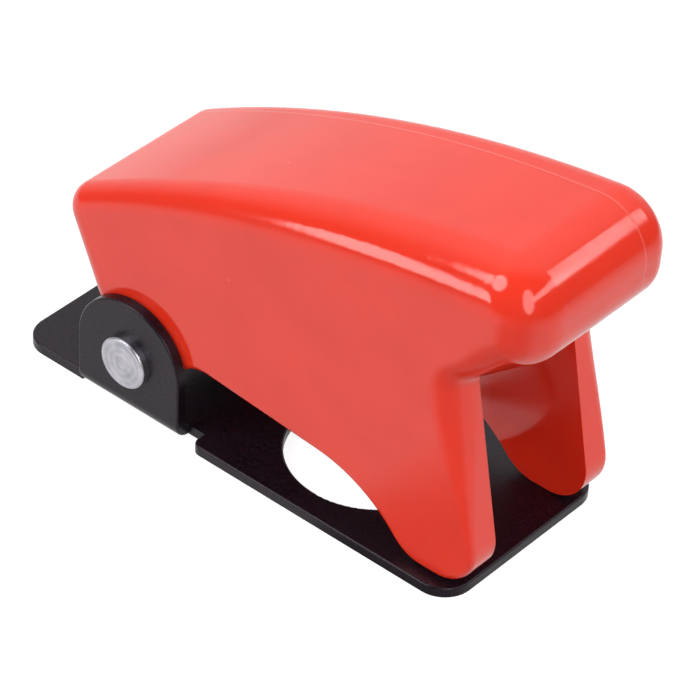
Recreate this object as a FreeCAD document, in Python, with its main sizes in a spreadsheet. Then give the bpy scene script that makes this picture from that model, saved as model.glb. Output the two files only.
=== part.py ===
import FreeCAD, Part
import math
import os
import re
import Sketcher

# Toggle switch cover: a spring loaded flip cover on a folded steel bracket.
# Millimetres. +X points to the nose of the cover, +Z up from the panel, and the
# origin is the centre of the bushing hole at the underside of the bracket.

doc = FreeCAD.newDocument("toggle_switch_cover")

# Driving dimensions
SIZES = {
    # folded bracket
    "sheet_gauge": 0.75,
    "plate_width": 16.0,
    "plate_front": 13.15,
    "tail_length": 5.95,
    "tail_inset": 0.5,
    "front_corner": 2.2,
    "rear_corner": 2.0,
    "bushing_radius": 6.1,
    "ear_set": 0.05,
    "ear_radius": 4.6,
    "fold_radius": 0.45,
    "relief_length": 1.3,
    "relief_corner": 0.7,
    "rim_break": 0.15,
    # hinge pin
    "pin_back": 15.2,
    "pin_height": 4.5,
    "shank_radius": 1.2,
    "ear_hole_play": 0.04,
    "hinge_play": 0.07,
    "head_radius": 1.95,
    "head_height": 0.6,
    "head_break": 0.2,
    "upset_radius": 1.7,
    "upset_height": 0.55,
    "upset_dome": 0.4,
    # moulded cover, outside
    "ear_gap": 0.12,
    "eye_radius": 2.4,
    "rear_set": 2.78,
    "rear_lean": 24.35,
    "back_height": 14.22,
    "roof_radius": 94.5,
    "nose_reach": 17.38,
    "nose_height": 27.03,
    "nose_depth": 6.75,
    "lip_setback": 0.15,
    "throat_drop": 3.68,
    "leg_front": 14.87,
    "leg_lean": 10.8,
    "crown_round": 2.05,
    "nose_round": 3.5,
    "lip_round": 3.4,
    "throat_round": 1.0,
    "back_round": 1.6,
    "brow_round": 3.3,
    "shin_round": 2.2,
    "far_round": 1.45,
    "far_brow_round": 1.7,
    # moulded cover, lower edge of the side walls
    "stop_gap": 0.08,
    "toe_round": 3.0,
    "foot_clear": 0.02,
    "foot_flat": 1.12,
    "heel_round": 3.3,
    "flank_angle": 47.0,
    "arch_front_height": 4.95,
    "arch_back_height": 6.15,
    "arch_front_round": 10.0,
    "arch_back_round": 3.0,
    "lower_round": 0.5,
    # moulded cover, inside
    "side_wall": 2.43,
    "roof_wall": 2.0,
    "rear_wall": 1.8,
    "lip_wall": 2.6,
    "skirt_height": 7.0,
    # torsion spring
    "wire_radius": 0.25,
    "coil_play": 0.3,
    "coil_turns": 6.0,
    "coil_gap": 0.12,
    "tail_leg_margin": 2.55,
    "leg_seat": 0.03,
}

# How far the cutting shapes run past the part
OVERRUN = 4.0

sheet = doc.addObject("Spreadsheet::Sheet", "Sizes")
for row, (alias, size) in enumerate(SIZES.items(), start=1):
    sheet.set(f"A{row}", alias)
    sheet.set(f"B{row}", str(size))
    sheet.setAlias(f"B{row}", alias)
doc.recompute()


def named(text):
    """An expression on the sheet's cells, written with the bare names of the sizes."""
    return re.sub("[a-z_]+", lambda word: "Sizes." + word[0] if word[0] in SIZES else word[0], text)


def value(text):
    """The number that an expression gives with the sizes as they are."""
    return float(sheet.evalExpression(named(text)))


# Places that several pieces share
EAR_BACK = "(-pin_back - ear_radius)"
EAR_FRONT = "(-pin_back + ear_radius)"
PLATE_REAR = "(pin_back + ear_radius + tail_length)"
EAR_FACE = "(plate_width / 2 - ear_set)"
EAR_INNER = f"({EAR_FACE} - sheet_gauge)"
COVER_HALF = f"({EAR_INNER} - ear_gap)"
CAVITY_HALF = f"({COVER_HALF} - side_wall)"
WALL_SET = "(rear_set / cos(rear_lean * 1deg))"
FLOOR = "(sheet_gauge + stop_gap)"
LIP_HEIGHT = "(nose_height - nose_depth)"
THROAT_HEIGHT = f"({LIP_HEIGHT} - throat_drop)"


def rear_face(height, inset="0"):
    """X of the leaning rear wall at a height, set in from its outside."""
    slope = "tan(rear_lean * 1deg)"
    return (f"(-pin_back - {WALL_SET} + {inset} / cos(rear_lean * 1deg)"
            f" - ({height} - pin_height) * {slope})")


def leg_face(height):
    """X of the front edge of the legs at a height."""
    return f"(leg_front - {height} * tan(leg_lean * 1deg))"


def bind(thing, **bindings):
    for prop, text in bindings.items():
        thing.setExpression(prop.replace("__", "."), named(text))


def new_body(name):
    return doc.addObject("PartDesign::Body", name)


def new_sketch(body, plane, name, lift=None):
    """A sketch on one of the body's origin planes, lifted along that plane's normal."""
    sketch = body.newObject("Sketcher::SketchObject", name)
    origin_plane = [item for item in body.Origin.OriginFeatures if item.Role == plane][0]
    sketch.AttachmentSupport = [(origin_plane, "")]
    sketch.MapMode = "FlatFace"
    if lift:
        sketch.setExpression("AttachmentOffset.Base.z", named(lift))
    return sketch


def draw_outline(sketch, corners, arcs=None):
    """A closed outline through corners given as pairs of expressions.

    arcs maps the number of a side to the expression of its radius and to 1 for a bulge
    to the right of its direction of travel, or -1 for one to the left.
    """
    arcs = arcs or {}
    places = [FreeCAD.Vector(value(across), value(up), 0) for across, up in corners]
    for number, start in enumerate(places):
        end = places[(number + 1) % len(places)]
        if number in arcs:
            radius_text, hand = arcs[number]
            radius = value(radius_text)
            chord = end - start
            bulge = FreeCAD.Vector(chord.y, -chord.x, 0).normalize() * hand
            sagitta = radius - math.sqrt(radius ** 2 - (chord.Length / 2) ** 2)
            middle = (start + end) * 0.5 + bulge * sagitta
            sketch.addGeometry(Part.Arc(start, middle, end))
            sketch.addConstraint(Sketcher.Constraint("Radius", number, radius))
            sketch.setExpression(f"Constraints[{sketch.ConstraintCount - 1}]", named(radius_text))
        else:
            sketch.addGeometry(Part.LineSegment(start, end))
    for number, place in enumerate(places):
        here, there = end_points(sketch, places, number, number in arcs)
        sketch.addConstraint(Sketcher.Constraint("DistanceX", number, here, place.x))
        sketch.setExpression(f"Constraints[{sketch.ConstraintCount - 1}]", named(corners[number][0]))
        sketch.addConstraint(Sketcher.Constraint("DistanceY", number, here, place.y))
        sketch.setExpression(f"Constraints[{sketch.ConstraintCount - 1}]", named(corners[number][1]))
        following = (number + 1) % len(places)
        next_start = end_points(sketch, places, following, following in arcs)[0]
        sketch.addConstraint(Sketcher.Constraint("Coincident", number, there, following, next_start))
    return sketch


def end_points(sketch, places, number, is_arc):
    """Which end of a side lies at its own corner: arcs always run anticlockwise."""
    if not is_arc:
        return 1, 2
    starts_here = sketch.getPoint(number, 1).distanceToPoint(places[number]) < 1e-6
    return (1, 2) if starts_here else (2, 1)


def draw_circle(sketch, across, up, radius):
    centre = FreeCAD.Vector(value(across), value(up), 0)
    sketch.addGeometry(Part.Circle(centre, FreeCAD.Vector(0, 0, 1), value(radius)))
    for kind, arguments, text in (("DistanceX", (0, 3, centre.x), across),
                                  ("DistanceY", (0, 3, centre.y), up),
                                  ("Radius", (0, value(radius)), radius)):
        sketch.addConstraint(Sketcher.Constraint(kind, *arguments))
        sketch.setExpression(f"Constraints[{sketch.ConstraintCount - 1}]", named(text))
    return sketch


def pad(body, sketch, name, length, both_sides=False, reverse=False):
    feature = body.newObject("PartDesign::Pad", name)
    feature.Profile = sketch
    feature.Midplane = both_sides
    feature.Reversed = reverse
    bind(feature, Length=length)
    doc.recompute()
    return feature


def pocket_through(body, sketch, name):
    """A cut right through the body, to both sides of its sketch."""
    before = body.Shape.Volume
    feature = body.newObject("PartDesign::Pocket", name)
    feature.Profile = sketch
    feature.Midplane = True
    bind(feature, Length="plate_width * 3")
    doc.recompute()
    assert body.Shape.Volume < before, name
    return feature


def round_edges(body, name, radius, chosen):
    """A constant fillet on every edge of the body's last shape that chosen accepts."""
    base = body.Tip
    edges = [f"Edge{number}" for number, edge in enumerate(base.Shape.Edges, start=1) if chosen(edge)]
    feature = body.newObject("PartDesign::Fillet", name)
    feature.Base = (base, edges)
    bind(feature, Radius=radius)
    doc.recompute()
    return feature


def near(one, other, within=1e-4):
    return abs(one - other) < within


def upright_at(places):
    """Accepts edges parallel to Z at one of the X, Y places."""
    def chosen(edge):
        first, last = edge.firstVertex().Point, edge.lastVertex().Point
        upright = near(first.x, last.x) and near(first.y, last.y)
        return upright and any(near(first.x, x) and near(first.y, y) for x, y in places)
    return chosen


def crosswise_at(across, up):
    """Accepts edges parallel to Y at one X, Z place."""
    def chosen(edge):
        first, last = edge.firstVertex().Point, edge.lastVertex().Point
        crosswise = near(first.x, last.x) and near(first.z, last.z)
        return crosswise and near(first.x, value(across)) and near(first.z, value(up))
    return chosen


def lies_at(edge, axis, place):
    """Whether the whole edge lies at one place along an axis, on either side of zero."""
    first, last = edge.FirstParameter, edge.LastParameter
    points = [edge.valueAt(first + (last - first) * part / 4) for part in range(5)]
    return all(near(abs(getattr(point, axis)), place) for point in points)


def mirrored_corners(corners):
    """The corners, followed by their mirror images in reverse order."""
    return corners + [(across, f"(-{up})") for across, up in reversed(corners)]


def make_base_bracket():
    """One piece of sheet steel: flat plate, bushing hole and two ears folded up."""
    body = new_body("base_bracket")
    half = "(plate_width / 2)"
    tail_side = f"({half} - tail_inset)"
    notch_floor = f"({EAR_INNER} - fold_radius)"
    notch_front = f"({EAR_FRONT} + relief_length)"
    corners = [
        (f"(-{PLATE_REAR})", tail_side),
        (EAR_BACK, tail_side),
        (EAR_BACK, notch_floor),
        (notch_front, notch_floor),
        (notch_front, half),
        ("plate_front", half),
    ]
    plan = draw_outline(new_sketch(body, "XY_Plane", "plate_plan"), mirrored_corners(corners))
    pad(body, plan, "plate", "sheet_gauge")

    ear_top = "(pin_height + ear_radius)"
    section = [
        (f"({notch_floor} - fold_radius)", "0"),
        (notch_floor, "0"),
        (EAR_FACE, "(sheet_gauge + fold_radius)"),
        (EAR_FACE, ear_top),
        (EAR_INNER, ear_top),
        (EAR_INNER, "(sheet_gauge + fold_radius)"),
        (notch_floor, "sheet_gauge"),
        (f"({notch_floor} - fold_radius)", "sheet_gauge"),
    ]
    fold = new_sketch(body, "YZ_Plane", "fold_section", lift="(-pin_back)")
    draw_outline(fold, section, arcs={1: ("(sheet_gauge + fold_radius)", 1), 5: ("fold_radius", -1)})
    ear = pad(body, fold, "folded_ear", "2 * ear_radius", both_sides=True)
    ears = body.newObject("PartDesign::Mirrored", "both_ears")
    ears.Originals = [ear]
    middle = [item for item in body.Origin.OriginFeatures if item.Role == "XZ_Plane"][0]
    ears.MirrorPlane = (middle, [""])
    body.Tip = ears
    doc.recompute()

    for end in (EAR_BACK, EAR_FRONT):
        name = "ear_round_back" if end == EAR_BACK else "ear_round_front"
        round_edges(body, name, "ear_radius * 0.999", crosswise_at(end, ear_top))
    front = value("plate_front")
    width = value(half)
    tail = value(tail_side)
    back = -value(PLATE_REAR)
    notch = value(notch_front)
    round_edges(body, "front_corners", "front_corner", upright_at([(front, width), (front, -width)]))
    round_edges(body, "rear_corners", "rear_corner", upright_at([(back, tail), (back, -tail)]))
    round_edges(body, "relief_corners", "relief_corner", upright_at([(notch, width), (notch, -width)]))

    hole = draw_circle(new_sketch(body, "XY_Plane", "bushing_circle"), "0", "0", "bushing_radius")
    pocket_through(body, hole, "bushing_hole")
    pin_circle = new_sketch(body, "XZ_Plane", "pin_circle")
    draw_circle(pin_circle, "(-pin_back)", "pin_height", "shank_radius + ear_hole_play")
    pocket_through(body, pin_circle, "pin_holes")

    def top_rim(edge):
        at_fold = any(near(abs(vertex.Y), value(notch_floor)) for vertex in edge.Vertexes)
        return lies_at(edge, "z", value("sheet_gauge")) and not at_fold

    def ear_rim(edge):
        at_fold = all(near(vertex.Z, value("sheet_gauge + fold_radius")) for vertex in edge.Vertexes)
        return lies_at(edge, "y", value(EAR_FACE)) and len(edge.Vertexes) == 2 and not at_fold

    round_edges(body, "plate_rim", "rim_break", top_rim)
    round_edges(body, "ear_rim", "rim_break", ear_rim)
    return body


def make_hinge_pin():
    """Headed rivet through both ears, its far end upset, modelled on its own axis."""
    body = new_body("hinge_pin")
    face = EAR_FACE
    profile = [
        ("0", f"(-{face} - head_height)"),
        ("head_radius", f"(-{face} - head_height)"),
        ("head_radius", f"(-{face})"),
        ("shank_radius", f"(-{face})"),
        ("shank_radius", face),
        ("upset_radius", face),
        ("upset_radius", f"({face} + upset_height)"),
        ("0", f"({face} + upset_height)"),
    ]
    half_section = draw_outline(new_sketch(body, "XY_Plane", "pin_section"), profile)
    turned = body.newObject("PartDesign::Revolution", "turned_pin")
    turned.Profile = half_section
    turned.ReferenceAxis = (half_section, ["V_Axis"])
    turned.Angle = 360.0
    doc.recompute()

    def rim(radius, along):
        def chosen(edge):
            return (edge.Curve.TypeId == "Part::GeomCircle" and near(edge.Curve.Radius, radius)
                    and near(edge.Curve.Center.y, along))
        return chosen

    head_face = -value(f"{face} + head_height")
    round_edges(body, "head_rim", "head_break", rim(value("head_radius"), head_face))
    upset_face = value(f"{face} + upset_height")
    round_edges(body, "upset_rim", "upset_dome", rim(value("upset_radius"), upset_face))
    bind(body, Placement__Base__x="(-pin_back)", Placement__Base__z="pin_height")
    return body


def side_prism(name, corners, half_width, arcs=None, rounds=()):
    """A prism drawn in side view, even about the middle plane, with rounded corners."""
    body = new_body(name)
    side = draw_outline(new_sketch(body, "XZ_Plane", name + "_side"), corners, arcs)
    pad(body, side, name + "_block", f"2 * {half_width}", both_sides=True)
    for number, radius in rounds:
        round_edges(body, f"{name}_round_{number}", radius, crosswise_at(*corners[number]))
    return body


def combine(kind, name, base, tool):
    result = doc.addObject(kind, name)
    result.Base = base
    result.Tool = tool
    doc.recompute()
    return result


def side_rim(half_width):
    """Accepts the outline edges of a side prism on both its side faces."""
    def chosen(edge):
        return lies_at(edge, "y", value(half_width)) and len(edge.Vertexes) == 2
    return chosen


def make_upper_form():
    """Rear wall, roof, nose, leg fronts and toes.

    The rim is rounded more and more from the back to the nose, most of all on the near
    side, and least under the toes.
    """
    corners = [
        (rear_face(FLOOR), FLOOR),
        (leg_face(FLOOR), FLOOR),
        (leg_face(THROAT_HEIGHT), THROAT_HEIGHT),
        ("(nose_reach - lip_setback)", LIP_HEIGHT),
        ("nose_reach", "nose_height"),
        (rear_face("back_height"), "back_height"),
    ]
    rounds = [(5, "crown_round"), (4, "nose_round"), (3, "lip_round"), (2, "throat_round"),
              (1, "toe_round")]
    arcs = {4: ("roof_radius", 1)}
    body = side_prism("upper_block", corners, COVER_HALF, arcs=arcs, rounds=rounds)
    brow_base = f"({LIP_HEIGHT} - throat_drop / 2)"

    def rim_radius(vertex):
        if near(vertex.Z, value(FLOOR)) and vertex.X > 0:
            return value("lower_round")
        at_brow = vertex.X > 0 and vertex.Z > value(brow_base)
        if vertex.Y > 0:
            return value("far_brow_round" if at_brow else "far_round")
        if vertex.X < 0:
            return value("back_round")
        return value("brow_round" if at_brow else "shin_round")

    rim = side_rim(COVER_HALF)
    rounded = doc.addObject("Part::Fillet", "upper_form")
    rounded.Base = body
    rounded.Edges = [(number, rim_radius(edge.firstVertex()), rim_radius(edge.lastVertex()))
                     for number, edge in enumerate(body.Shape.Edges, start=1) if rim(edge)]
    doc.recompute()
    return rounded


def make_lower_form():
    """What the lower edge of the side walls leaves: eyes, arch, flank, heel and toe."""
    turn = "cos(45deg)"
    eye_x = f"(-pin_back + eye_radius * {turn})"
    eye_z = f"(pin_height - eye_radius * {turn})"
    foot = f"({FLOOR} - foot_clear)"
    toe_length = "(toe_round * tan(45deg + leg_lean * 0.5deg))"
    heel_length = "(heel_round * tan(flank_angle * 0.5deg))"
    heel_x = f"({leg_face(FLOOR)} - {toe_length} - {heel_length} - foot_flat)"
    flank_x = f"({heel_x} - (arch_front_height - {FLOOR}) / tan(flank_angle * 1deg))"
    corners = [
        (f"(-{PLATE_REAR} - {OVERRUN})", "(pin_height - eye_radius / 2)"),
        ("(-pin_back)", "(pin_height - eye_radius / 2)"),
        (eye_x, eye_z),
        (f"({eye_x} + arch_back_height - {eye_z})", "arch_back_height"),
        (flank_x, "arch_front_height"),
        (heel_x, foot),
        (f"(nose_reach + {OVERRUN})", foot),
        (f"(nose_reach + {OVERRUN})", f"(nose_height + {OVERRUN})"),
        (f"(-{PLATE_REAR} - {OVERRUN})", f"(nose_height + {OVERRUN})"),
    ]
    rounds = [(3, "arch_back_round"), (4, "arch_front_round"), (5, "heel_round")]
    body = side_prism("lower_form", corners, COVER_HALF, rounds=rounds)
    round_edges(body, "lower_rounding", "lower_round", side_rim(COVER_HALF))
    return body


def make_cavity():
    """The hollow under the roof, open below and between the legs."""
    low = f"(-{OVERRUN})"
    roof_back = rear_face("back_height")
    under_roof = [
        (roof_back, low),
        ("nose_reach", low),
        ("nose_reach", "(nose_height - roof_wall)"),
        (roof_back, "(back_height - roof_wall)"),
    ]
    roof_block = side_prism("under_roof", under_roof, CAVITY_HALF, arcs={2: ("roof_radius", 1)})
    inner_front = "(nose_reach - lip_wall)"
    inner_rear = rear_face("back_height", "rear_wall")
    between_walls = [
        (f"(-{PLATE_REAR} - {OVERRUN})", low),
        (inner_front, low),
        (inner_front, f"(nose_height + {OVERRUN})"),
        (rear_face(f"(nose_height + {OVERRUN})", "rear_wall"), f"(nose_height + {OVERRUN})"),
        (rear_face("skirt_height", "rear_wall"), "skirt_height"),
        (f"(-{PLATE_REAR} - {OVERRUN})", "skirt_height"),
    ]
    wall_block = side_prism("between_walls", between_walls, CAVITY_HALF)
    return combine("Part::Common", "cavity", roof_block, wall_block)


def hinge_cylinder(name, radius, half_width):
    """A cylinder along the hinge axis, even about the middle plane."""
    cylinder = doc.addObject("Part::Cylinder", name)
    bind(cylinder, Radius=radius, Height=f"2 * {half_width}")
    turn = FreeCAD.Rotation(FreeCAD.Vector(1, 0, 0), 90)
    cylinder.Placement = FreeCAD.Placement(FreeCAD.Vector(0, 0, 0), turn)
    bind(cylinder, Placement__Base__x="(-pin_back)", Placement__Base__y=half_width,
         Placement__Base__z="pin_height")
    doc.recompute()
    return cylinder


def make_flip_cover():
    """The red moulding: one hollow shell with two legs, an arched roof and hinge eyes."""
    shell = combine("Part::Common", "cover_shell", make_upper_form(), make_lower_form())
    eyes = hinge_cylinder("hinge_eyes", "eye_radius", COVER_HALF)
    block = combine("Part::Fuse", "cover_block", shell, eyes)
    hollow = combine("Part::Cut", "hollow_cover", block, make_cavity())
    bore = hinge_cylinder("hinge_bore", "shank_radius + hinge_play", "plate_width")
    return combine("Part::Cut", "flip_cover", hollow, bore)


def make_torsion_spring():
    """Closing spring round the pin: one leg on the bracket, one under the rear wall."""
    wire = value("wire_radius")
    coil = value("shank_radius + coil_play + wire_radius")
    axis_x, axis_z = -value("pin_back"), value("pin_height")
    tail_x = value(f"tail_leg_margin - {PLATE_REAR}")
    tail_z = value("sheet_gauge + leg_seat") + wire
    wall_x = value(rear_face("skirt_height", "rear_wall / 2"))
    wall_z = value("skirt_height - leg_seat") - wire

    def tangent_angle(x, z, side):
        """Angle on the coil from which a straight leg runs to the place x, z."""
        reach = math.hypot(x - axis_x, z - axis_z)
        return math.atan2(z - axis_z, x - axis_x) + side * math.acos(coil / reach)

    start_angle = tangent_angle(tail_x, tail_z, 1) % math.tau
    end_angle = tangent_angle(wall_x, wall_z, -1) % math.tau
    sweep = end_angle - start_angle
    while sweep < value("coil_turns") * math.tau:
        sweep += math.tau
    pitch = 2 * wire + value("coil_gap")
    height = pitch * sweep / math.tau
    helix = Part.makeHelix(pitch, height, coil)
    helix.rotate(FreeCAD.Vector(0, 0, 0), FreeCAD.Vector(0, 0, 1), math.degrees(start_angle))
    helix.rotate(FreeCAD.Vector(0, 0, 0), FreeCAD.Vector(1, 0, 0), 90)
    helix.translate(FreeCAD.Vector(axis_x, height / 2, axis_z))
    slope = pitch / (math.tau * coil)

    def straight_leg(angle, x, z, side):
        """The leg between the coil's end and the place x, z, in line with the wire there."""
        joint = FreeCAD.Vector(axis_x + coil * math.cos(angle), side * height / 2,
                               axis_z + coil * math.sin(angle))
        reach = math.hypot(x - joint.x, z - joint.z)
        return joint, FreeCAD.Vector(x, joint.y + side * slope * reach, z)

    tail_joint, tail_end = straight_leg(start_angle, tail_x, tail_z, 1)
    wall_joint, wall_end = straight_leg(end_angle, wall_x, wall_z, -1)
    tail_leg = Part.makeLine(tail_end, tail_joint)
    wall_leg = Part.makeLine(wall_joint, wall_end)
    path = Part.Wire([tail_leg, helix.Edges[0], wall_leg])
    section = Part.Wire(Part.makeCircle(wire, tail_end, tail_joint - tail_end))
    swept = path.makePipeShell([section], True, False)
    spring = doc.addObject("Part::Feature", "torsion_spring")
    spring.Shape = swept
    spring.Placement = FreeCAD.Placement()
    return spring


PIECES = {
    "base_bracket": make_base_bracket,
    "hinge_pin": make_hinge_pin,
    "torsion_spring": make_torsion_spring,
    "flip_cover": make_flip_cover,
}

pieces = {}
for label, make in PIECES.items():
    pieces[label] = make()
    pieces[label].Label = label
doc.recompute()

for item in doc.Objects:
    assert "Invalid" not in item.State and "Error" not in item.State, item.Name

os.makedirs("parts", exist_ok=True)
for label, piece in pieces.items():
    shape = piece.Shape
    assert not shape.isNull() and shape.isValid(), label
    shape.exportStep(f"parts/{label}.step")
    box = shape.optimalBoundingBox(True, False)
    print(f"{label}: {len(shape.Solids)} solid, {shape.Volume:.2f} mm3,",
          f"X {box.XMin:.2f} to {box.XMax:.2f}, Y {box.YMin:.2f} to {box.YMax:.2f},",
          f"Z {box.ZMin:.2f} to {box.ZMax:.2f}")
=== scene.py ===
import math

import bmesh
import bpy
from mathutils import Matrix, Vector


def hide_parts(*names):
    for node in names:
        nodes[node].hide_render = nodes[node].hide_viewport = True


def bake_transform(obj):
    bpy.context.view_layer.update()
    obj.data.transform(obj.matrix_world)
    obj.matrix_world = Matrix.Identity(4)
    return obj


# Toggle switch cover: glossy red flip cover on a black folded steel bracket.
# The looks of a part whose solids come packed in the frame. Metres, +Z up.

MM = 0.001

# the hinge axis, in millimetres
PIN_X = -15.2
PIN_Z = 4.5

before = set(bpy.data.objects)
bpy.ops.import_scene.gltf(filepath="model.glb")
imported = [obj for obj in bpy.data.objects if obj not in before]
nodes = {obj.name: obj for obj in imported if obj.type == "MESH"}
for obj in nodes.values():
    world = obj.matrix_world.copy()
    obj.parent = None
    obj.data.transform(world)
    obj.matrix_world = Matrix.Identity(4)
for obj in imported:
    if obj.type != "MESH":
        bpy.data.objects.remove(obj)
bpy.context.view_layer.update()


# Camera, at the photograph's place

AZIMUTH = 39.323
ELEVATION = 38.64
ROLL = 2.856
DISTANCE = 269.771
SIDEWAYS = -1.600
UPWARDS = 7.184
FOCAL_PIXELS = 4028.77
PICTURE_PIXELS = 700
SENSOR = 36.0


def place_camera():
    around, above, roll = (math.radians(turn) for turn in (AZIMUTH, ELEVATION, ROLL))
    back = Vector((math.sin(around) * math.cos(above), -math.cos(around) * math.cos(above),
                   math.sin(above)))
    level = Vector((math.cos(around), math.sin(around), 0))
    upright = back.cross(level)
    right = level * math.cos(roll) + upright * math.sin(roll)
    up = upright * math.cos(roll) - level * math.sin(roll)
    place = (back * DISTANCE + right * SIDEWAYS + up * UPWARDS) * MM
    data = bpy.data.cameras.new("camera")
    data.sensor_width = SENSOR
    data.lens = FOCAL_PIXELS * SENSOR / PICTURE_PIXELS
    data.clip_start = 0.01
    data.clip_end = 10.0
    camera = bpy.data.objects.new("camera", data)
    bpy.context.collection.objects.link(camera)
    axes = Matrix((right, up, back)).transposed().to_4x4()
    camera.matrix_world = Matrix.Translation(place) @ axes
    bpy.context.scene.camera = camera


place_camera()


# Materials

# the cover's witness line, a ridge with a painted highlight along it: its place to the far side
# at the bushing hole, in millimetres, and how far it comes in for each millimetre towards the nose
LINE_SIDE = 4.75
LINE_DRIFT = 0.03

# a mix node's colour sockets, which share their names with its other sockets
MIX_FIRST = 6
MIX_SECOND = 7
MIX_RESULT = 2


def linear(hex_colour):
    """An sRGB colour such as #C21A12 as the linear red, green, blue and alpha of a shader."""
    parts = [int(hex_colour[start:start + 2], 16) / 255 for start in (1, 3, 5)]
    return [part / 12.92 if part <= 0.04045 else ((part + 0.055) / 1.055) ** 2.4
            for part in parts] + [1.0]


def add_node(tree, kind, settings=None, inputs=None, links=None):
    """A node with its settings, its socket values, and its links from other nodes' outputs."""
    node = tree.nodes.new(kind)
    for name, setting in (settings or {}).items():
        setattr(node, name, setting)
    for name, number in (inputs or {}).items():
        node.inputs[name].default_value = number
    for name, (source, output) in (links or {}).items():
        tree.links.new(source.outputs[output], node.inputs[name])
    return node


def new_material(name, surface):
    """A material with one shader, its sockets set from surface, and the tree to build on."""
    material = bpy.data.materials.new(name)
    material.use_nodes = True
    tree = material.node_tree
    tree.nodes.clear()
    shader = add_node(tree, "ShaderNodeBsdfPrincipled", inputs=surface)
    add_node(tree, "ShaderNodeOutputMaterial", links={"Surface": (shader, "BSDF")})
    return material, tree, shader


def ramp_between(node, stops):
    """Sets a colour ramp's stops from pairs of place and hex colour."""
    elements = node.color_ramp.elements
    while len(elements) < len(stops):
        elements.new(0.5)
    for element, (place, colour) in zip(elements, stops):
        element.position = place
        element.color = linear(colour)


def moulded_red_abs():
    """Injection moulded ABS, coloured through and polished by the mould.

    Smooth enough for sharp highlights, with the faint long waves and fine orange peel of a
    moulding, a raised witness line where the mould parted with a pale painted highlight along it,
    slightly duller patches where handling has scuffed it, and a few specks of dust.
    """
    material, tree, shader = new_material("moulded_gloss_red_abs", {
        "IOR": 1.53,
        "Subsurface Weight": 0.3,
        "Subsurface Radius": (1.0, 0.06, 0.04),
        "Subsurface Scale": 1.0 * MM,
    })
    place = add_node(tree, "ShaderNodeTexCoord")
    # colourant that has not mixed quite evenly: clouds about 6 mm across
    clouds = add_node(tree, "ShaderNodeTexNoise", inputs={"Scale": 1 / (6 * MM), "Detail": 2.0},
                      links={"Vector": (place, "Object")})
    red = add_node(tree, "ShaderNodeValToRGB", links={"Fac": (clouds, "Fac")})
    ramp_between(red, [(0.3, "#EC341D"), (0.7, "#F43820")])

    # witness line of the mould, about 0.12 mm wide, along the far side of the roof and the nose: a
    # ridge in the bump, with a pale painted highlight in the colour
    parts = add_node(tree, "ShaderNodeSeparateXYZ", links={"Vector": (place, "Object")})
    drift = add_node(tree, "ShaderNodeMath", {"operation": "MULTIPLY_ADD"},
                     inputs={1: LINE_DRIFT, 2: -LINE_SIDE * MM}, links={0: (parts, "X")})
    beside = add_node(tree, "ShaderNodeMath", {"operation": "ADD"},
                      links={0: (parts, "Y"), 1: (drift, "Value")})
    off_line = add_node(tree, "ShaderNodeMath", {"operation": "ABSOLUTE"},
                        links={0: (beside, "Value")})
    line = add_node(tree, "ShaderNodeMapRange",
                    inputs={"From Min": 0.03 * MM, "From Max": 0.08 * MM,
                            "To Min": 1.0, "To Max": 0.0},
                    links={"Value": (off_line, "Value")})
    # dust and tiny nicks, 0.15 mm across and about 5 mm apart
    cells = add_node(tree, "ShaderNodeTexVoronoi", inputs={"Scale": 1 / (5 * MM)},
                     links={"Vector": (place, "Object")})
    specks = add_node(tree, "ShaderNodeMapRange",
                      inputs={"From Min": 0.012, "From Max": 0.018, "To Min": 1.0, "To Max": 0.0},
                      links={"Value": (cells, "Distance")})
    # the dust specks, and the painted highlight of the witness line
    dust_and_line_highlight = add_node(tree, "ShaderNodeMath", {"operation": "MAXIMUM"},
                     links={0: (line, "Result"), 1: (specks, "Result")})
    faint = add_node(tree, "ShaderNodeMath", {"operation": "MULTIPLY"}, inputs={1: 0.16},
                     links={0: (dust_and_line_highlight, "Value")})
    # the pale colour is a painted highlight along the witness line, and the dust's own colour in
    # the specks
    colour = add_node(tree, "ShaderNodeMix", {"data_type": "RGBA"},
                      inputs={MIX_SECOND: linear("#FFC4BC")},
                      links={"Factor": (faint, "Value"), MIX_FIRST: (red, "Color")})
    tree.links.new(colour.outputs[MIX_RESULT], shader.inputs["Base Color"])

    # scuffs about 1 mm across
    scuffs = add_node(tree, "ShaderNodeTexNoise",
                      inputs={"Scale": 1 / (1.0 * MM), "Detail": 5.0, "Roughness": 0.65},
                      links={"Vector": (place, "Object")})
    gloss = add_node(tree, "ShaderNodeMapRange",
                     inputs={"From Min": 0.35, "From Max": 0.75, "To Min": 0.08, "To Max": 0.14},
                     links={"Value": (scuffs, "Fac")})
    tree.links.new(gloss.outputs["Result"], shader.inputs["Roughness"])

    # orange peel about 0.5 mm across, on moulding waves about 4 mm long
    peel = add_node(tree, "ShaderNodeTexNoise", inputs={"Scale": 1 / (0.5 * MM), "Detail": 2.0},
                    links={"Vector": (place, "Object")})
    fine = add_node(tree, "ShaderNodeBump", inputs={"Strength": 0.3, "Distance": 0.004 * MM},
                    links={"Height": (peel, "Fac")})
    waves = add_node(tree, "ShaderNodeTexNoise", inputs={"Scale": 1 / (4 * MM), "Detail": 1.0},
                     links={"Vector": (place, "Object")})
    coarse = add_node(tree, "ShaderNodeBump", inputs={"Strength": 0.25, "Distance": 0.012 * MM},
                      links={"Height": (waves, "Fac"), "Normal": (fine, "Normal")})
    ridge = add_node(tree, "ShaderNodeBump", inputs={"Strength": 0.35, "Distance": 0.02 * MM},
                     links={"Height": (line, "Result"), "Normal": (coarse, "Normal")})
    tree.links.new(ridge.outputs["Normal"], shader.inputs["Normal"])
    return material


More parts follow.
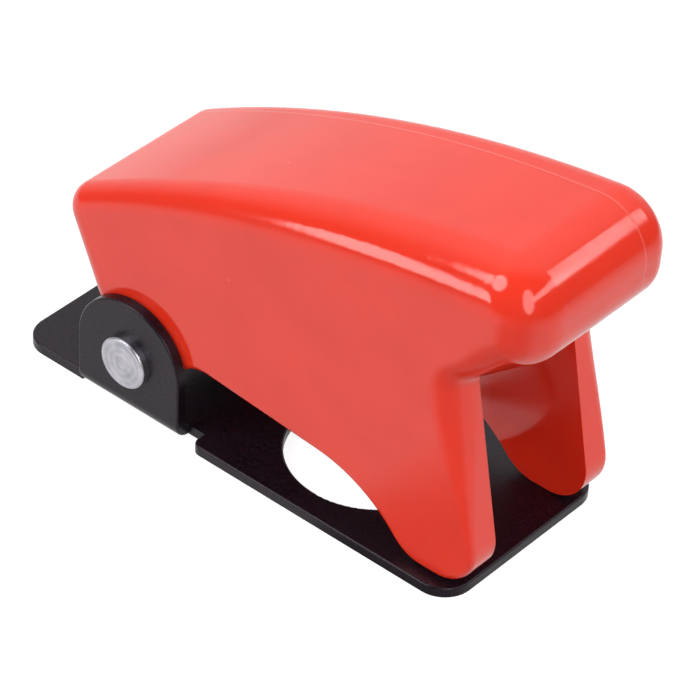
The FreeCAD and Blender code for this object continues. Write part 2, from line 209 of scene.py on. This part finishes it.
def black_coated_steel():
    """Sheet steel with a thin black electrophoretic coating.

    Nearly black with a hint of violet and half glossy, with a fine even grain from the
    coating that catches the light.
    """
    material, tree, shader = new_material("black_electrocoated_steel", {
        "IOR": 1.45,
        "Specular IOR Level": 0.38,
        "Specular Tint": linear("#F6E9F4"),
    })
    place = add_node(tree, "ShaderNodeTexCoord")
    # coating grain, 0.08 mm across in the real finish, drawn at 0.2 mm so that it shows
    grain = add_node(tree, "ShaderNodeTexNoise",
                     inputs={"Scale": 1 / (0.2 * MM), "Detail": 3.0, "Roughness": 0.6},
                     links={"Vector": (place, "Object")})
    colour = add_node(tree, "ShaderNodeValToRGB", links={"Fac": (grain, "Fac")})
    ramp_between(colour, [(0.35, "#0D080D"), (0.72, "#221A24")])
    tree.links.new(colour.outputs["Color"], shader.inputs["Base Color"])
    # thicker and thinner coating, in clouds about 3 mm across
    clouds = add_node(tree, "ShaderNodeTexNoise", inputs={"Scale": 1 / (3 * MM), "Detail": 4.0},
                      links={"Vector": (place, "Object")})
    gloss = add_node(tree, "ShaderNodeMapRange",
                     inputs={"From Min": 0.3, "From Max": 0.7, "To Min": 0.24, "To Max": 0.34},
                     links={"Value": (clouds, "Fac")})
    tree.links.new(gloss.outputs["Result"], shader.inputs["Roughness"])
    bump = add_node(tree, "ShaderNodeBump", inputs={"Strength": 0.8, "Distance": 0.02 * MM},
                    links={"Height": (grain, "Fac")})
    tree.links.new(bump.outputs["Normal"], shader.inputs["Normal"])
    return material


def plated_steel_rivet():
    """Zinc plated mild steel, headed in a press.

    A bluish bright skin, brushed round by the press in rings and dulled in soft patches.
    """
    material, tree, shader = new_material("zinc_plated_steel", {"Metallic": 1.0})
    place = add_node(tree, "ShaderNodeTexCoord")
    about_axis = add_node(tree, "ShaderNodeMapping",
                          inputs={"Location": (-PIN_X * MM, 0, -PIN_Z * MM)},
                          links={"Vector": (place, "Object")})
    # press rings about 0.25 mm apart round the pin's axis, partly worn away
    rings = add_node(tree, "ShaderNodeTexWave",
                     {"wave_type": "RINGS", "rings_direction": "Y", "wave_profile": "SIN"},
                     inputs={"Scale": 0.16 / (0.25 * MM), "Distortion": 3.0, "Detail": 3.0,
                             "Detail Scale": 1.5},
                     links={"Vector": (about_axis, "Vector")})
    # duller patches of the plating about 0.9 mm across
    patches = add_node(tree, "ShaderNodeTexNoise",
                       inputs={"Scale": 1 / (0.9 * MM), "Detail": 3.0, "Roughness": 0.55},
                       links={"Vector": (place, "Object")})
    worn = add_node(tree, "ShaderNodeMapRange",
                    inputs={"From Min": 0.0, "From Max": 1.0, "To Min": -0.07, "To Max": 0.07},
                    links={"Value": (rings, "Fac")})
    tone = add_node(tree, "ShaderNodeMath", {"operation": "ADD"},
                    links={0: (patches, "Fac"), 1: (worn, "Result")})
    colour = add_node(tree, "ShaderNodeValToRGB", links={"Fac": (tone, "Value")})
    ramp_between(colour, [(0.3, "#A9A8B0"), (0.7, "#C9C7CE")])
    tree.links.new(colour.outputs["Color"], shader.inputs["Base Color"])
    gloss = add_node(tree, "ShaderNodeMapRange",
                     inputs={"From Min": 0.3, "From Max": 0.7, "To Min": 0.38, "To Max": 0.24},
                     links={"Value": (tone, "Value")})
    tree.links.new(gloss.outputs["Result"], shader.inputs["Roughness"])
    bump = add_node(tree, "ShaderNodeBump", inputs={"Strength": 0.3, "Distance": 0.006 * MM},
                    links={"Height": (rings, "Fac")})
    tree.links.new(bump.outputs["Normal"], shader.inputs["Normal"])
    return material


def drawn_spring_wire():
    """Drawn music wire: bright grey steel with dull lengthwise streaks."""
    material, tree, shader = new_material("drawn_spring_steel", {"Metallic": 1.0})
    place = add_node(tree, "ShaderNodeTexCoord")
    # die marks about 0.1 mm apart
    streaks = add_node(tree, "ShaderNodeTexNoise", inputs={"Scale": 1 / (0.1 * MM), "Detail": 3.0},
                       links={"Vector": (place, "Object")})
    colour = add_node(tree, "ShaderNodeValToRGB", links={"Fac": (streaks, "Fac")})
    ramp_between(colour, [(0.3, "#8E8C8E"), (0.7, "#B4B2B3")])
    tree.links.new(colour.outputs["Color"], shader.inputs["Base Color"])
    gloss = add_node(tree, "ShaderNodeMapRange",
                     inputs={"From Min": 0.3, "From Max": 0.7, "To Min": 0.28, "To Max": 0.4},
                     links={"Value": (streaks, "Fac")})
    tree.links.new(gloss.outputs["Result"], shader.inputs["Roughness"])
    return material


def give(thing, material):
    """Puts one material in every slot of an object."""
    if not thing.data.materials:
        thing.data.materials.append(material)
    for slot in thing.material_slots:
        slot.material = material


spring_steel = drawn_spring_wire()
give(nodes["flip_cover"], moulded_red_abs())
give(nodes["base_bracket"], black_coated_steel())
give(nodes["hinge_pin"], plated_steel_rivet())
give(nodes["torsion_spring"], spring_steel)


# Torsion spring: the same wire as the solid. Sizes are in millimetres; the ends are X and Z on
# the bracket's tail and under the cover's rear wall.

WIRE_RADIUS = 0.25
COIL_RADIUS = 1.75
COIL_PITCH = 0.62
COIL_TURNS = 6
TAIL_END = (-23.2, 1.03)
WALL_END = (-18.395, 6.72)
SIDES_OF_WIRE = 12
STEPS_PER_TURN = 28


def tangent_angle(end, side):
    """Angle on the coil at which a straight leg to the end leaves it."""
    across, up = end[0] - PIN_X, end[1] - PIN_Z
    return math.atan2(up, across) + side * math.acos(COIL_RADIUS / math.hypot(across, up))


def extrude_ring(bm, ring, reach):
    """Pulls an open ring of edges on in a straight line and gives its far ring."""
    grown = bmesh.ops.extrude_edge_only(bm, edges=ring)["geom"]
    moved = [item for item in grown if isinstance(item, bmesh.types.BMVert)]
    bmesh.ops.translate(bm, verts=moved, vec=reach)
    edges = [item for item in grown if isinstance(item, bmesh.types.BMEdge)]
    far = set(moved)
    return [edge for edge in edges if edge.verts[0] in far and edge.verts[1] in far]


def make_spring():
    tail_angle = tangent_angle(TAIL_END, 1) % math.tau
    sweep = tangent_angle(WALL_END, -1) % math.tau - tail_angle
    while sweep < COIL_TURNS * math.tau:
        sweep += math.tau
    width = COIL_PITCH * sweep / math.tau
    slope = COIL_PITCH / (math.tau * COIL_RADIUS)

    def on_coil(angle, along):
        return Vector((PIN_X + COIL_RADIUS * math.cos(angle), along,
                       PIN_Z + COIL_RADIUS * math.sin(angle)))

    first = on_coil(tail_angle, width / 2)
    last = on_coil(tail_angle + sweep, -width / 2)
    tail_reach = math.hypot(TAIL_END[0] - first.x, TAIL_END[1] - first.z)
    wall_reach = math.hypot(WALL_END[0] - last.x, WALL_END[1] - last.z)
    tail = Vector((TAIL_END[0], first.y + slope * tail_reach, TAIL_END[1]))
    wall = Vector((WALL_END[0], last.y - slope * wall_reach, WALL_END[1]))

    bm = bmesh.new()
    end_cap = bmesh.ops.create_circle(bm, cap_ends=False, segments=SIDES_OF_WIRE,
                                      radius=WIRE_RADIUS)
    facing = (first - tail).to_track_quat("Z", "Y").to_matrix()
    bmesh.ops.rotate(bm, verts=end_cap["verts"], cent=(0, 0, 0), matrix=facing)
    bmesh.ops.translate(bm, verts=end_cap["verts"], vec=tail)
    ring = extrude_ring(bm, bm.edges[:], first - tail)
    steps = round(sweep / math.tau * STEPS_PER_TURN)
    spun = bmesh.ops.spin(bm, geom=ring, cent=(PIN_X, 0, PIN_Z), axis=(0, -1, 0), angle=sweep,
                          steps=steps, dvec=(0, -width / steps, 0), use_merge=False,
                          use_duplicate=False)
    ring = [item for item in spun["geom_last"] if isinstance(item, bmesh.types.BMEdge)]
    extrude_ring(bm, ring, wall - last)
    ends = [edge for edge in bm.edges if edge.is_boundary]
    bmesh.ops.holes_fill(bm, edges=ends, sides=0)
    bmesh.ops.remove_doubles(bm, verts=bm.verts[:], dist=0.001)
    bmesh.ops.recalc_face_normals(bm, faces=bm.faces[:])
    for face in bm.faces:
        face.smooth = len(face.verts) == 4
    bmesh.ops.scale(bm, vec=(MM, MM, MM), verts=bm.verts[:])
    mesh = bpy.data.meshes.new("wound_spring")
    bm.to_mesh(mesh)
    bm.free()
    spring = bpy.data.objects.new("wound_spring", mesh)
    bpy.context.collection.objects.link(spring)
    give(spring, spring_steel)
    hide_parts("torsion_spring")
    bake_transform(spring)


make_spring()


# Pale floor and white background

# what brings the lit paper up to white: in reflections, and to the camera under the object too
MIRRORED_WHITE = 0.62
CAMERA_WHITE = 0.86
# how far from the object the paper's painted pool of light reaches, in millimetres, and where it
# begins to fade
LIT_TO = 170
FADES_FROM = 60
# the headings in which the camera stands over the paper, and in which the paper goes on
CAMERA_SIDE = (math.sin(math.radians(AZIMUTH)), -math.cos(math.radians(AZIMUTH)), 0)
BEHIND = (-0.8, 0.6, 0)


def pale_backdrop():
    """A sheet of matt white paper under the object, with its shadow.

    Painted light makes it brightest round the object; painted shade dims its reflections where the
    camera stands over it.
    """
    material, tree, shader = new_material("matt_white_paper", {"Roughness": 0.9})
    place = add_node(tree, "ShaderNodeTexCoord")
    reach = add_node(tree, "ShaderNodeVectorMath", {"operation": "LENGTH"},
                     links={"Vector": (place, "Object")})
    heading = add_node(tree, "ShaderNodeVectorMath", {"operation": "NORMALIZE"},
                       links={"Vector": (place, "Object")})
    # the paper stays bright much farther off behind the object than beside it
    behind = add_node(tree, "ShaderNodeVectorMath", {"operation": "DOT_PRODUCT"},
                      inputs={1: BEHIND}, links={0: (heading, "Vector")})
    nearer = add_node(tree, "ShaderNodeMapRange",
                      inputs={"From Min": 0.4, "From Max": 0.9, "To Min": 1.0, "To Max": 0.06},
                      links={"Value": (behind, "Value")})
    counted = add_node(tree, "ShaderNodeMath", {"operation": "MULTIPLY"},
                       links={0: (reach, "Value"), 1: (nearer, "Result")})
    lit = add_node(tree, "ShaderNodeMapRange",
                   inputs={"From Min": FADES_FROM * MM, "From Max": LIT_TO * MM,
                           "To Min": 1.0, "To Max": 0.0},
                   links={"Value": (counted, "Value")})
    # the paper's colour is a painted pool of light: lighter near the object, darker farther off
    paper = add_node(tree, "ShaderNodeValToRGB", links={"Fac": (lit, "Result")})
    ramp_between(paper, [(0.0, "#707070"), (1.0, "#A0A0A0")])
    tree.links.new(paper.outputs["Color"], shader.inputs["Base Color"])

    # seen in a reflection it glows a little with the painted pool of light, but painted shade dims
    # it where the camera stands over it
    towards = add_node(tree, "ShaderNodeVectorMath", {"operation": "DOT_PRODUCT"},
                       inputs={1: CAMERA_SIDE}, links={0: (heading, "Vector")})
    open_side = add_node(tree, "ShaderNodeMapRange", {"interpolation_type": "SMOOTHSTEP"},
                         inputs={"From Min": 0.8, "From Max": 1.0,
                                 "To Min": MIRRORED_WHITE, "To Max": 0.0},
                         links={"Value": (towards, "Value")})
    rays = add_node(tree, "ShaderNodeLightPath")
    mirrored = add_node(tree, "ShaderNodeMath", {"operation": "MAXIMUM"},
                        links={0: (rays, "Is Glossy Ray"), 1: (rays, "Is Transmission Ray")})
    in_mirror = add_node(tree, "ShaderNodeMath", {"operation": "MULTIPLY"},
                         links={0: (mirrored, "Value"), 1: (lit, "Result")})
    added = add_node(tree, "ShaderNodeMath", {"operation": "MULTIPLY"},
                     links={0: (in_mirror, "Value"), 1: (open_side, "Result")})
    seen = add_node(tree, "ShaderNodeMapRange", inputs={"To Max": CAMERA_WHITE},
                    links={"Value": (rays, "Is Camera Ray"), "To Min": (added, "Value")})
    shader.inputs["Emission Color"].default_value = linear("#FFFFFF")
    tree.links.new(seen.outputs["Result"], shader.inputs["Emission Strength"])
    return material


# half the paper's width and how far it lies under the object's underside, in metres
PAPER_REACH = 1.5
PAPER_DROP = 0.00002


def make_floor():
    bm = bmesh.new()
    bmesh.ops.create_grid(bm, x_segments=1, y_segments=1, size=PAPER_REACH)
    bmesh.ops.translate(bm, verts=bm.verts[:], vec=(0, 0, -PAPER_DROP))
    mesh = bpy.data.meshes.new("floor")
    bm.to_mesh(mesh)
    bm.free()
    floor = bpy.data.objects.new("floor", mesh)
    bpy.context.collection.objects.link(floor)
    give(floor, pale_backdrop())


make_floor()


# Light

# brightness of the room's walls, and the direction of the brightest
ROOM_DIM = 0.22
ROOM_BRIGHT = 1.0
ROOM_BRIGHT_SIDE = (-0.50, 0.62, 0.60)
# what the lamps face, and how far from it they stand, in metres
TARGET = (0.004, 0, 0.018)
LAMP_REACH = 0.6


def soft_box(name, heading, width, height, power, turn=0, shape="ELLIPSE"):
    """A flat soft light that faces the target from a heading.

    The heading is degrees round from the near side and degrees up, the width and height are
    in metres and the power in watts. turn tilts the lamp about the line of its light, in
    degrees.
    """
    around, above = (math.radians(angle) for angle in heading)
    away = Vector((math.sin(around) * math.cos(above), -math.cos(around) * math.cos(above),
                   math.sin(above)))
    data = bpy.data.lights.new(name, "AREA")
    data.shape = shape
    data.size = width
    data.size_y = height
    data.energy = power
    lamp = bpy.data.objects.new(name, data)
    bpy.context.collection.objects.link(lamp)
    facing = away.to_track_quat("Z", "Y").to_matrix().to_4x4()
    tilt = Matrix.Rotation(math.radians(turn), 4, "Z")
    lamp.matrix_world = Matrix.Translation(Vector(TARGET) + away * LAMP_REACH) @ facing @ tilt


def light_scene():
    world = bpy.data.worlds.new("white_studio")
    bpy.context.scene.world = world
    world.use_nodes = True
    tree = world.node_tree
    tree.nodes.clear()
    # the room: bright behind the object, dimmer towards the camera
    place = add_node(tree, "ShaderNodeTexCoord")
    towards = add_node(tree, "ShaderNodeVectorMath", {"operation": "DOT_PRODUCT"},
                       inputs={1: ROOM_BRIGHT_SIDE}, links={0: (place, "Generated")})
    room = add_node(tree, "ShaderNodeMapRange",
                    inputs={"From Min": 0.35, "From Max": 0.8,
                            "To Min": ROOM_DIM, "To Max": ROOM_BRIGHT},
                    links={"Value": (towards, "Value")})
    dim = add_node(tree, "ShaderNodeBackground", inputs={"Color": linear("#FFFFFF")},
                   links={"Strength": (room, "Result")})
    white = add_node(tree, "ShaderNodeBackground",
                     inputs={"Color": linear("#FFFFFF"), "Strength": 1.0})
    rays = add_node(tree, "ShaderNodeLightPath")
    seen = add_node(tree, "ShaderNodeMixShader", links={"Fac": (rays, "Is Camera Ray")})
    tree.links.new(dim.outputs["Background"], seen.inputs[1])
    tree.links.new(white.outputs["Background"], seen.inputs[2])
    add_node(tree, "ShaderNodeOutputWorld", links={"Surface": (seen, "Shader")})
    # the key light, mirrored in the nose's near corner
    soft_box("key_left", (-33, 41), 0.33, 0.33, 1.45, shape="DISK")
    # mirrored as the long streak along the near edge of the roof
    soft_box("low_left", (-36, 5), 0.34, 0.14, 0.64, turn=-48)
    # these three are mirrored as the bar across the front of the nose
    soft_box("near_window", (53, 28), 0.25, 0.56, 1.25)
    soft_box("far_window", (101, 36), 0.70, 0.13, 1.20, shape="RECTANGLE")
    soft_box("far_right", (140, 33), 0.32, 0.045, 0.16, turn=51)


light_scene()

bpy.context.scene.view_settings.view_transform = "Standard"
